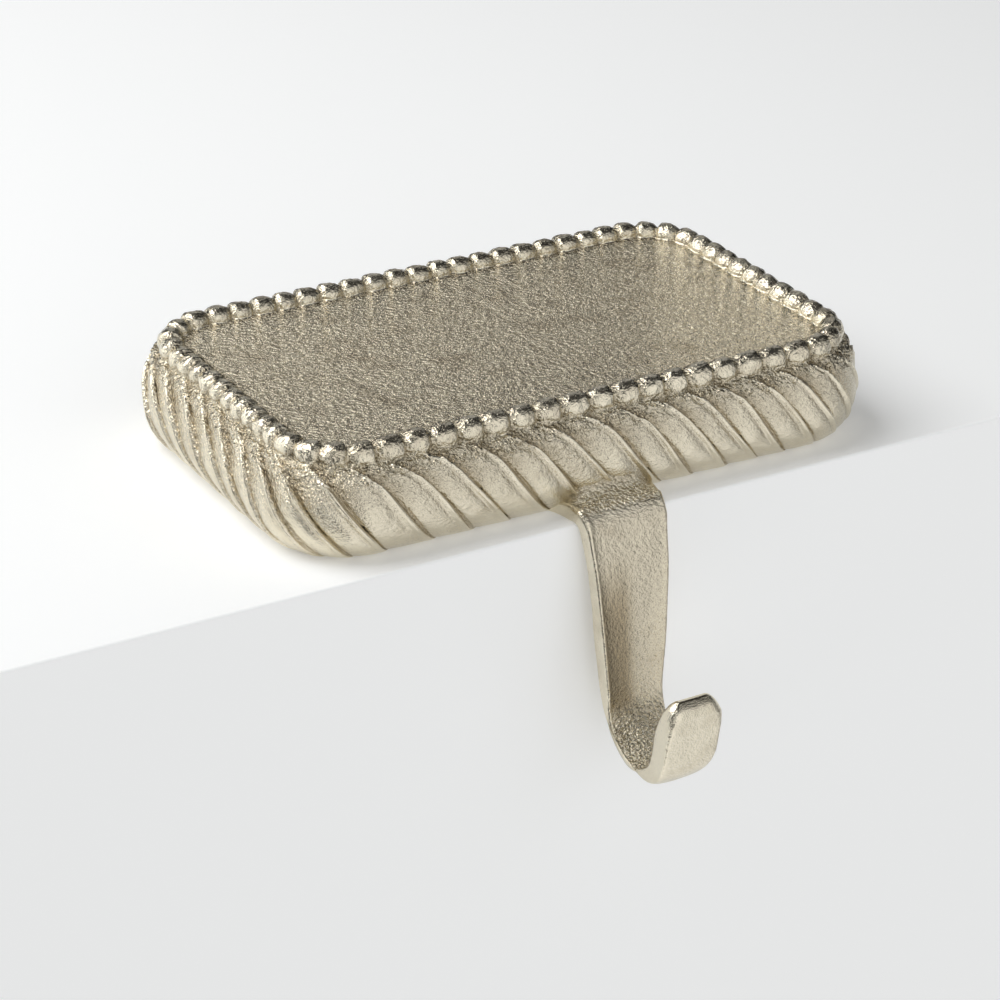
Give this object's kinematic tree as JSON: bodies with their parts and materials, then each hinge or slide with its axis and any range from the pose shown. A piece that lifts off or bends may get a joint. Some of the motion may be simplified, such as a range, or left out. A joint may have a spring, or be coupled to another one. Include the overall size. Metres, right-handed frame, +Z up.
{
  "type": "mantel stocking holder",
  "caption": "Cast mantel stocking holder: a heavy rectangular block with a beaded rim and rope-carved sides, and a tapered strap hook cast in one with it that hangs over the shelf edge.",
  "frame": {"origin": "centre of the block's flat underside, the seat plane that stands on the mantel", "axes": "+X along the block's long side, -Y towards the hook and the front of the mantel, +Z up from the seat"},
  "size_m": [0.15, 0.1282, 0.0792],
  "materials": {
    "casting": "sand-cast, satin nickel plate"
  },
  "bodies": {
    "root": {"stocking_holder": "casting"}
  },
  "joints": []
}
